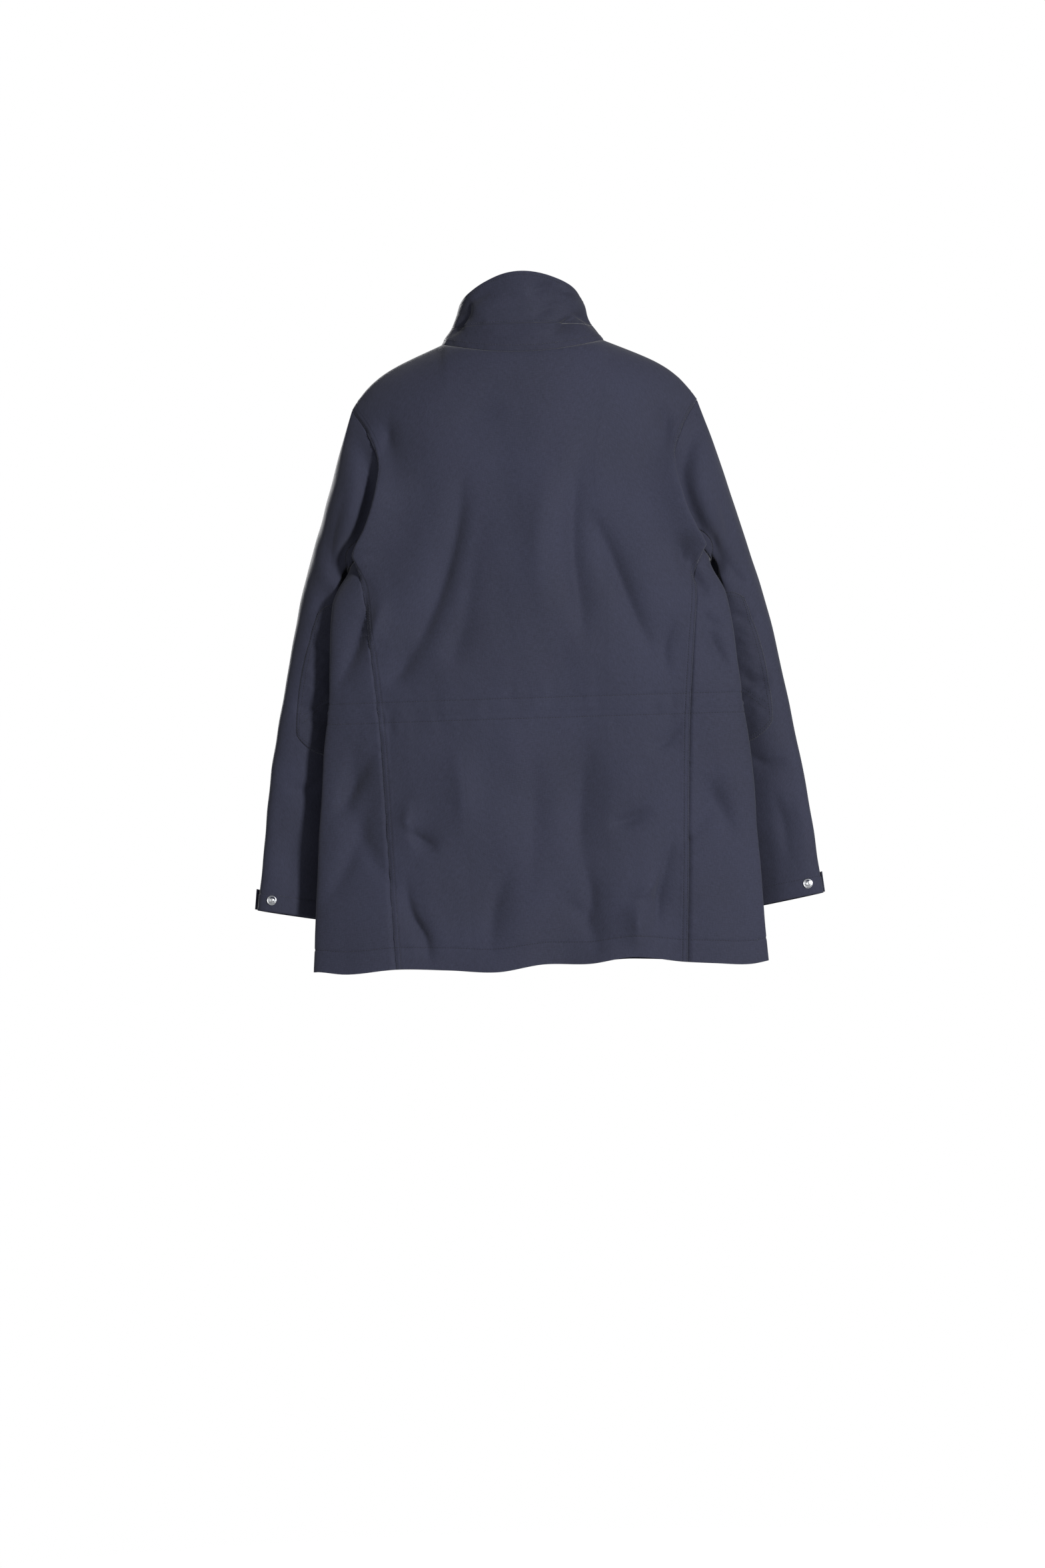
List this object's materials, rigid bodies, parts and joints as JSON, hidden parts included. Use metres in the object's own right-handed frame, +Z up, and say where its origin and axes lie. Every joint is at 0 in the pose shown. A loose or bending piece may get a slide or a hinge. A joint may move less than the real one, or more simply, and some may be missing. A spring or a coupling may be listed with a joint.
{
  "type": "foul weather jacket",
  "caption": "Thigh-length shell jacket with a high stand collar, set-in sleeves, a zipped front under a snap flap, and a drawn-in waist; keeps wind and spray off its wearer.",
  "frame": {"origin": "centre of the neck at shoulder level, where a hanger carries the jacket", "axes": "+Z up along the back, +X to the wearer's left, -Y to the wearer's front"},
  "size_m": [0.742, 0.155, 0.8949],
  "materials": {
    "navy_shell": "fine dense weave, matt, stitched",
    "navy_trim": "fine dense weave, matt",
    "lining": "smooth satin weave",
    "zip_tape": "ribbed tape",
    "cord": "braided",
    "snap_steel": "polished ring, satin knob",
    "zip_metal": "dark nickel"
  },
  "bodies": {
    "jacket": {"back_panel": "navy_shell", "front_panel_left": "navy_shell", "front_panel_right": "navy_shell", "side_panel_left": "navy_shell", "side_panel_right": "navy_shell", "body_lining": "lining", "upper_back_lining": "lining", "upper_front_lining_left": "lining", "upper_front_lining_right": "lining", "waist_channel": "lining", "waist_cord": "cord", "sleeve_upper_left": "navy_shell", "sleeve_upper_right": "navy_shell", "sleeve_under_left": "navy_shell", "sleeve_under_right": "navy_shell", "sleeve_lining_left": "lining", "sleeve_lining_right": "lining", "elbow_patch_left": "navy_trim", "elbow_patch_right": "navy_trim", "collar_stand": "navy_trim", "collar_fall": "navy_trim", "collar_facing": "navy_trim", "hang_loop": "zip_tape", "zip_tape_left": "zip_tape", "zip_tape_right": "zip_tape", "zip_chain_left": "zip_metal", "zip_chain_right": "zip_metal", "zip_retainer": "zip_metal", "flap_snap_stud_1": "snap_steel", "flap_snap_stud_2": "snap_steel", "flap_snap_stud_3": "snap_steel", "flap_snap_stud_4": "snap_steel", "pocket_left": "navy_shell", "pocket_right": "navy_shell", "pocket_snap_stud_left": "snap_steel", "pocket_snap_stud_right": "snap_steel", "cuff_stud_back_left": "snap_steel", "cuff_stud_back_right": "snap_steel", "cuff_stud_front_left": "snap_steel", "cuff_stud_front_right": "snap_steel"},
    "zip_slider": {"zip_slider": "zip_metal"},
    "zip_puller": {"zip_puller": "zip_metal"},
    "storm_flap": {"storm_flap": "navy_shell", "flap_snap_cap_1": "snap_steel", "flap_snap_cap_2": "snap_steel", "flap_snap_cap_3": "snap_steel", "flap_snap_cap_4": "snap_steel"},
    "pocket_flap_left": {"pocket_flap_left": "navy_shell", "pocket_snap_cap_left": "snap_steel"},
    "pocket_flap_right": {"pocket_flap_right": "navy_shell", "pocket_snap_cap_right": "snap_steel"},
    "cuff_tab_left": {"cuff_tab_left": "navy_shell", "cuff_tab_cap_left": "snap_steel"},
    "cuff_tab_right": {"cuff_tab_right": "navy_shell", "cuff_tab_cap_right": "snap_steel"}
  },
  "joints": [
    {"name": "zip_slide", "type": "slide", "parent": "jacket", "child": "zip_slider", "axis": [0, 0, 1], "range_m": [-0.745, 0]},
    {"name": "zip_puller_swing", "type": "hinge", "parent": "zip_slider", "child": "zip_puller", "pos_m": [0, -0.0692, 0.006], "axis": [-1, 0, 0], "range_deg": [0, 150]},
    {"name": "storm_flap_open", "type": "hinge", "parent": "jacket", "child": "storm_flap", "pos_m": [0.035, -0.0668, -0.429], "axis": [0, 0, 1], "range_deg": [0, 110]},
    {"name": "pocket_flap_left_open", "type": "hinge", "parent": "jacket", "child": "pocket_flap_left", "pos_m": [0.13616, -0.05252, -0.51392], "axis": [-0.9804, -0.1969, 0], "range_deg": [0, 120]},
    {"name": "pocket_flap_right_open", "type": "hinge", "parent": "jacket", "child": "pocket_flap_right", "pos_m": [-0.13616, -0.05252, -0.51392], "axis": [-0.9804, 0.1969, 0], "range_deg": [0, 120]},
    {"name": "cuff_tab_left_open", "type": "hinge", "parent": "jacket", "child": "cuff_tab_left", "pos_m": [0.29951, -0.0631, -0.70265], "axis": [0.1454, 0.0911, -0.9852], "range_deg": [0, 100]},
    {"name": "cuff_tab_right_open", "type": "hinge", "parent": "jacket", "child": "cuff_tab_right", "pos_m": [-0.29951, -0.0631, -0.70265], "axis": [0.1454, -0.0911, 0.9852], "range_deg": [0, 100]}
  ]
}
